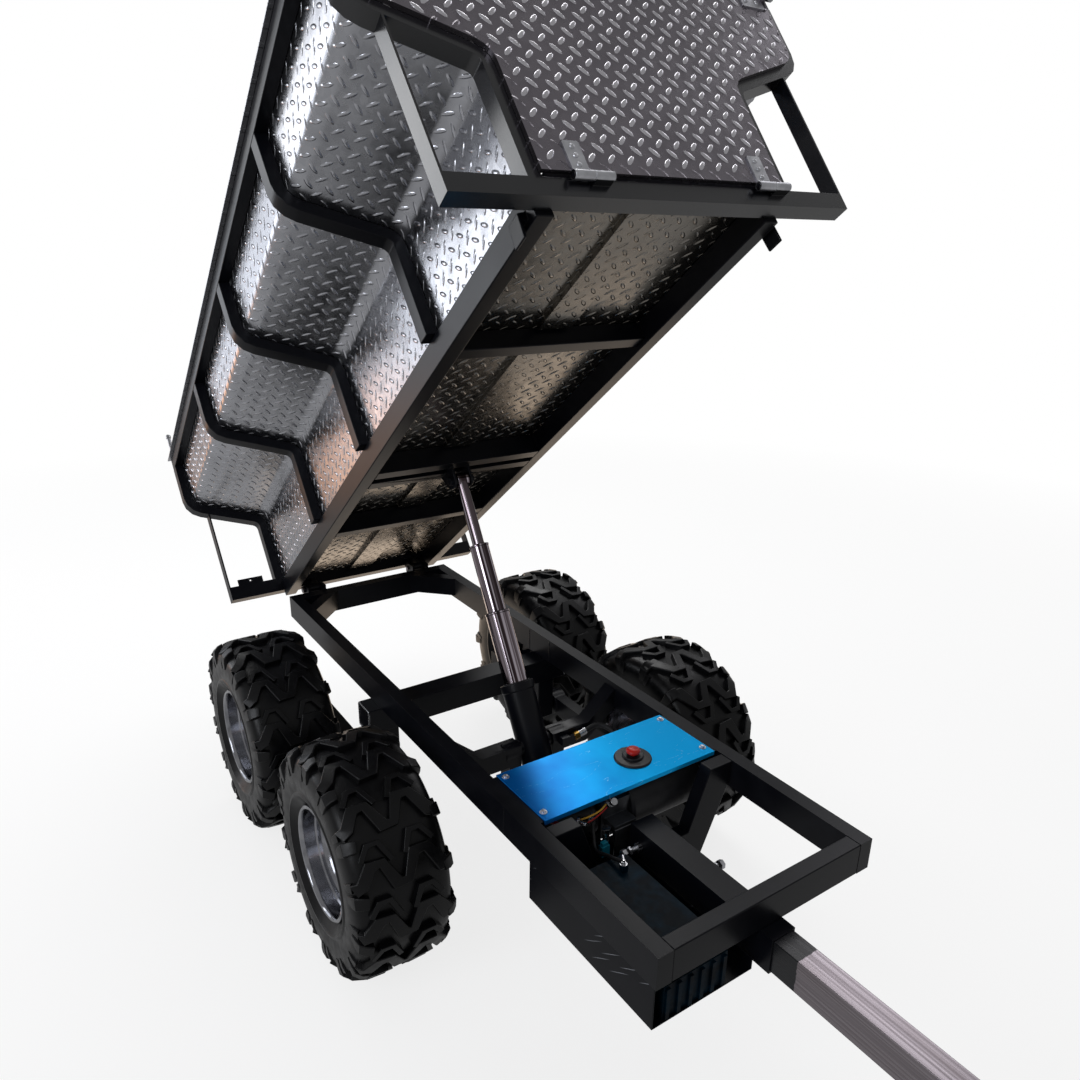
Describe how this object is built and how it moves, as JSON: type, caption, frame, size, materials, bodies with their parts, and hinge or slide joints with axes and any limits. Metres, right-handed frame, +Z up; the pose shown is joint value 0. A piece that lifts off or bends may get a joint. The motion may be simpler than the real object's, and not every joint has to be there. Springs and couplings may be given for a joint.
{
  "type": "all-terrain vehicle tipping trailer",
  "caption": "Two-axle off-road tipping trailer with walking-beam wheels, a stepped galvanised bed raised by a telescopic cylinder, hinged gates and a telescoping drawbar.",
  "frame": {"origin": "on the ground, under the middle of the trailer's bounding box with the bed raised and both gates shut", "axes": "+X towards the drawbar's coupler, +Y to the trailer's left, +Z up"},
  "size_m": [3.5287, 1.336, 2.5273],
  "materials": {
    "black_paint": "black paint, semi-gloss",
    "galvanised_chequer_plate": "galvanised chequer plate",
    "drawn_steel": "bare galvanised steel tube with draw marks",
    "tyre_rubber": "matt black rubber",
    "plated_wheel": "bright silver finish",
    "hard_chrome": "polished hard chrome",
    "blue_paint": "bright blue paint",
    "black_plastic": "moulded",
    "red_plastic": "moulded red",
    "hose_rubber": "smooth",
    "cast_alloy": "as cast"
  },
  "bodies": {
    "chassis": {"chassis_rail_left": "black_paint", "chassis_rail_right": "black_paint", "front_crossmember": "black_paint", "rear_crossmember": "black_paint", "pivot_pin_left": "drawn_steel", "pivot_pin_right": "drawn_steel", "axle_crossmember": "black_paint", "trunnion_cradle": "black_paint", "vee_crossmember": "black_paint", "receiver_tube": "black_paint", "cover_plate": "blue_paint", "switch_housing": "black_plastic", "battery_tray": "black_paint", "battery": "black_plastic", "pump_motor": "black_paint", "valve_block": "cast_alloy", "oil_tank": "black_plastic", "hydraulic_hose": "hose_rubber"},
    "drawbar_group": {"drawbar": "drawn_steel", "ball_coupler": "cast_alloy"},
    "coupler_handle_group": {"coupler_handle": "hard_chrome"},
    "stop_button_group": {"stop_button": "red_plastic"},
    "beam_left": {"walking_beam_left": "black_paint"},
    "beam_right": {"walking_beam_right": "black_paint"},
    "barrel_group": {"cylinder_barrel": "black_paint"},
    "stage_1_group": {"cylinder_stage_1": "hard_chrome"},
    "stage_2_group": {"cylinder_stage_2": "hard_chrome"},
    "rod_group": {"cylinder_rod": "hard_chrome"},
    "bed": {"bed_rail_left": "black_paint", "bed_rail_right": "black_paint", "floor_crossmember_front": "black_paint", "floor_crossmember_rear": "black_paint", "cylinder_mount": "black_paint", "front_frame": "black_paint", "rear_frame": "black_paint", "floor_sheet": "galvanised_chequer_plate", "side_sheet_left": "galvanised_chequer_plate", "side_sheet_right": "galvanised_chequer_plate", "top_rail_left": "black_paint", "top_rail_right": "black_paint", "rib_front_left": "black_paint", "rib_middle_left": "black_paint", "rib_rear_left": "black_paint", "rib_front_right": "black_paint", "rib_middle_right": "black_paint", "rib_rear_right": "black_paint"},
    "front_gate_group": {"front_gate": "galvanised_chequer_plate"},
    "rear_gate_group": {"rear_gate": "galvanised_chequer_plate"},
    "wheel_group_front_left": {"wheel_front_left": "plated_wheel", "tyre_front_left": "tyre_rubber"},
    "wheel_group_rear_left": {"wheel_rear_left": "plated_wheel", "tyre_rear_left": "tyre_rubber"},
    "wheel_group_front_right": {"wheel_front_right": "plated_wheel", "tyre_front_right": "tyre_rubber"},
    "wheel_group_rear_right": {"wheel_rear_right": "plated_wheel", "tyre_rear_right": "tyre_rubber"},
    "front_latch_left_group": {"front_latch_left": "hard_chrome"},
    "front_latch_right_group": {"front_latch_right": "hard_chrome"},
    "rear_latch_left_group": {"rear_latch_left": "hard_chrome"},
    "rear_latch_right_group": {"rear_latch_right": "hard_chrome"}
  },
  "joints": [
    {"name": "bed_tip", "type": "hinge", "parent": "chassis", "child": "bed", "pos_m": [-1.21551, 0, 0.591], "axis": [0, 1, 0], "range_deg": [0, 38.31]},
    {"name": "cylinder_swing", "type": "hinge", "parent": "chassis", "child": "barrel_group", "pos_m": [-0.02051, 0, 0.468], "axis": [0, 1, 0], "range_deg": [-40, 1]},
    {"name": "stage_1_slide", "type": "slide", "parent": "barrel_group", "child": "stage_1_group", "axis": [-0.5019, 0, 0.8649], "range_m": [-0.2113, 0.001]},
    {"name": "stage_2_slide", "type": "slide", "parent": "stage_1_group", "child": "stage_2_group", "axis": [-0.5019, 0, 0.8649], "range_m": [-0.2026, 0.001]},
    {"name": "rod_slide", "type": "slide", "parent": "stage_2_group", "child": "rod_group", "axis": [-0.5019, 0, 0.8649], "range_m": [-0.1652, 0.001]},
    {"name": "beam_rock_left", "type": "hinge", "parent": "chassis", "child": "beam_left", "pos_m": [-0.40951, 0.355, 0.314], "axis": [0, 1, 0], "range_deg": [-9, 9]},
    {"name": "wheel_spin_front_left", "type": "hinge", "parent": "beam_left", "child": "wheel_group_front_left", "pos_m": [-0.04251, 0.535, 0.314], "axis": [0, 1, 0], "continuous": true},
    {"name": "wheel_spin_rear_left", "type": "hinge", "parent": "beam_left", "child": "wheel_group_rear_left", "pos_m": [-0.77651, 0.535, 0.314], "axis": [0, 1, 0], "continuous": true},
    {"name": "beam_rock_right", "type": "hinge", "parent": "chassis", "child": "beam_right", "pos_m": [-0.40951, -0.355, 0.314], "axis": [0, 1, 0], "range_deg": [-9, 9]},
    {"name": "wheel_spin_front_right", "type": "hinge", "parent": "beam_right", "child": "wheel_group_front_right", "pos_m": [-0.04251, -0.535, 0.314], "axis": [0, 1, 0], "continuous": true},
    {"name": "wheel_spin_rear_right", "type": "hinge", "parent": "beam_right", "child": "wheel_group_rear_right", "pos_m": [-0.77651, -0.535, 0.314], "axis": [0, 1, 0], "continuous": true},
    {"name": "front_gate_hinge", "type": "hinge", "parent": "bed", "child": "front_gate_group", "pos_m": [0.45242, 0, 1.97027], "axis": [0, 1, 0], "range_deg": [0, 90]},
    {"name": "front_latch_left_swing", "type": "hinge", "parent": "front_gate_group", "child": "front_latch_left_group", "pos_m": [0.11879, 0.555, 2.40547], "axis": [0, 1, 0], "range_deg": [0, 95]},
    {"name": "front_latch_right_swing", "type": "hinge", "parent": "front_gate_group", "child": "front_latch_right_group", "pos_m": [0.11879, -0.555, 2.40547], "axis": [0, 1, 0], "range_deg": [0, 95]},
    {"name": "rear_gate_hinge", "type": "hinge", "parent": "bed", "child": "rear_gate_group", "pos_m": [-1.33471, 0, 0.58896], "axis": [0, -1, 0], "range_deg": [0, 110]},
    {"name": "rear_latch_left_swing", "type": "hinge", "parent": "rear_gate_group", "child": "rear_latch_left_group", "pos_m": [-1.66601, 0.555, 0.99541], "axis": [0, -1, 0], "range_deg": [0, 95]},
    {"name": "rear_latch_right_swing", "type": "hinge", "parent": "rear_gate_group", "child": "rear_latch_right_group", "pos_m": [-1.66601, -0.555, 0.99541], "axis": [0, -1, 0], "range_deg": [0, 95]},
    {"name": "drawbar_slide", "type": "slide", "parent": "chassis", "child": "drawbar_group", "axis": [1, 0, 0], "range_m": [-0.02, 0.25]},
    {"name": "coupler_handle_swing", "type": "hinge", "parent": "drawbar_group", "child": "coupler_handle_group", "pos_m": [1.66479, 0, 0.52435], "axis": [0, -1, 0], "range_deg": [0, 90]},
    {"name": "stop_button_press", "type": "slide", "parent": "chassis", "child": "stop_button_group", "axis": [0, 0, -1], "range_m": [0, 0.005], "stiffness_N_per_m": 1500}
  ],
  "couplings": [
    {"joint": "cylinder_swing", "follows": "bed_tip", "ratio": -0.98326},
    {"joint": "stage_1_slide", "follows": "bed_tip", "m_per_rad": -0.3145},
    {"joint": "stage_2_slide", "follows": "bed_tip", "m_per_rad": -0.30157},
    {"joint": "rod_slide", "follows": "bed_tip", "m_per_rad": -0.24557}
  ]
}
